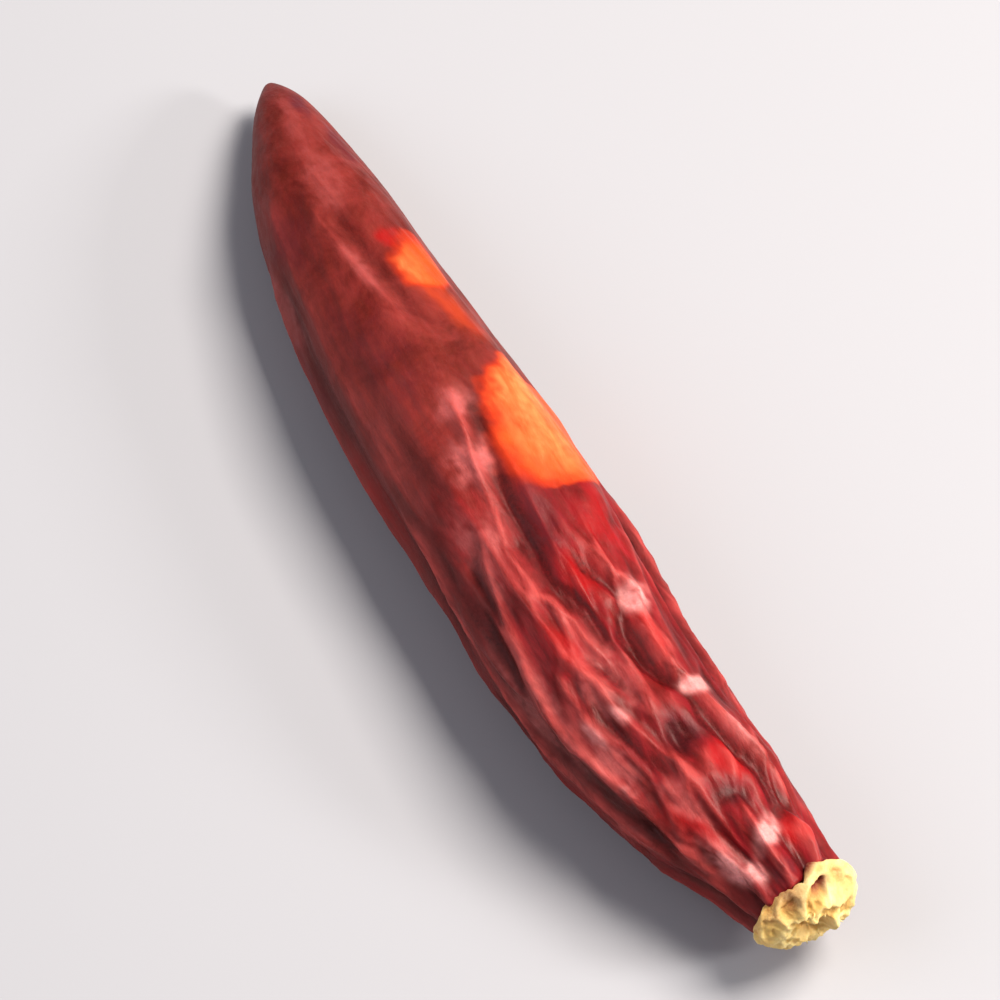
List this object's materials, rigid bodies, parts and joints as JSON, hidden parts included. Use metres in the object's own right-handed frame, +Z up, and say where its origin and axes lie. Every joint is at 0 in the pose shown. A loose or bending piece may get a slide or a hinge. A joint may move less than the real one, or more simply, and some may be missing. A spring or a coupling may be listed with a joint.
{
  "type": "dried chilli pepper",
  "caption": "Dried red chilli pod, long and gently bowed, with folded leathery skin, a blunt tip, and the straw-coloured calyx of its broken-off stem.",
  "frame": {"origin": "middle of the bounding box's base, on the surface that the pepper lies on", "axes": "+X from the tip to the stem end, +Y across the pod, away from its bow, +Z up from the belly to the back"},
  "size_m": [0.065, 0.0122, 0.0093],
  "materials": {
    "chilli_skin": "dried, waxy, semi-gloss",
    "dry_calyx": "dry, matt"
  },
  "bodies": {
    "root": {"pod": "chilli_skin", "calyx": "dry_calyx"}
  },
  "joints": []
}
